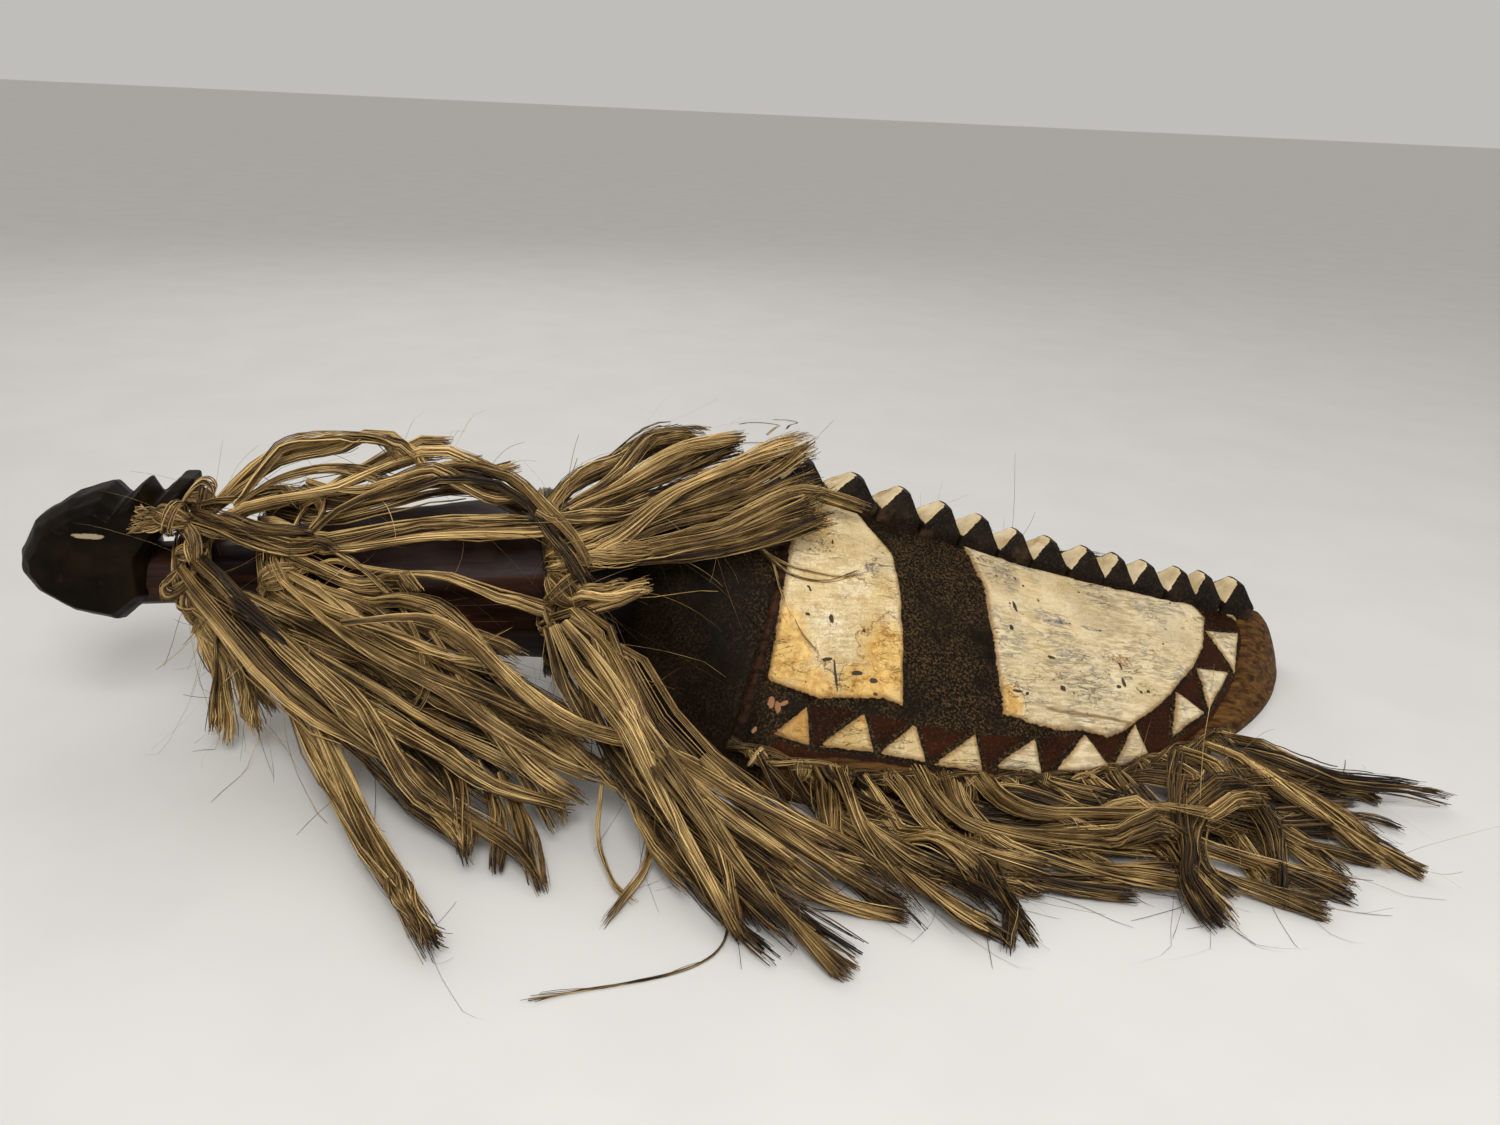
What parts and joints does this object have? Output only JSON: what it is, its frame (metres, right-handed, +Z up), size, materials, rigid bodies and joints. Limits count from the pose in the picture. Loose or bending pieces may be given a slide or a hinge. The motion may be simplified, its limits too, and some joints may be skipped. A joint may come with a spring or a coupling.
{
  "type": "mossi mask",
  "caption": "Carved wooden face mask with a toothed ridge, painted panels and a small carved bust above it, hung with tied raffia bundles, lying face up on its rim.",
  "frame": {"origin": "bottom centre of the whole object's box, on the surface that the rim lies on", "axes": "+X from the small head towards the chin, +Y towards the mask's right-hand side seen from the chin's end, +Z up, out of the face"},
  "size_m": [0.8864, 0.5788, 0.1968],
  "materials": {
    "carved_wood": "satin",
    "raffia": "satin",
    "raffia_cord": "matte"
  },
  "bodies": {
    "root": {"carved_mask": "carved_wood", "throat_cord": "raffia_cord", "shoulder_cord": "raffia_cord", "waist_cord": "raffia_cord", "near_rim_cord": "raffia_cord", "far_rim_cord": "raffia_cord", "throat_tuft_01": "raffia", "throat_tuft_02": "raffia", "throat_tuft_03": "raffia", "shoulder_tuft_01": "raffia", "throat_tuft_04": "raffia", "shoulder_tuft_02": "raffia", "throat_tuft_05": "raffia", "shoulder_tuft_03": "raffia", "shoulder_tuft_04": "raffia", "waist_tuft_01": "raffia", "waist_tuft_02": "raffia", "waist_tuft_03": "raffia", "waist_tuft_04": "raffia", "waist_tuft_05": "raffia", "waist_tuft_06": "raffia", "waist_tuft_07": "raffia", "waist_tuft_08": "raffia", "torso_tuft_01": "raffia", "torso_tuft_02": "raffia", "torso_tuft_03": "raffia", "torso_tuft_04": "raffia", "torso_tuft_05": "raffia", "rim_tuft_01": "raffia", "rim_tuft_02": "raffia", "rim_tuft_03": "raffia", "rim_tuft_04": "raffia", "rim_tuft_05": "raffia", "rim_tuft_06": "raffia", "rim_tuft_07": "raffia", "rim_tuft_08": "raffia", "rim_tuft_09": "raffia", "rim_tuft_10": "raffia", "far_rim_tuft_01": "raffia", "far_rim_tuft_02": "raffia", "far_rim_tuft_03": "raffia", "far_rim_tuft_04": "raffia", "far_rim_tuft_05": "raffia", "far_rim_tuft_06": "raffia", "far_rim_tuft_07": "raffia", "far_rim_tuft_08": "raffia", "far_tuft_01": "raffia", "far_tuft_02": "raffia", "far_tuft_03": "raffia", "far_tuft_04": "raffia"}
  },
  "joints": []
}
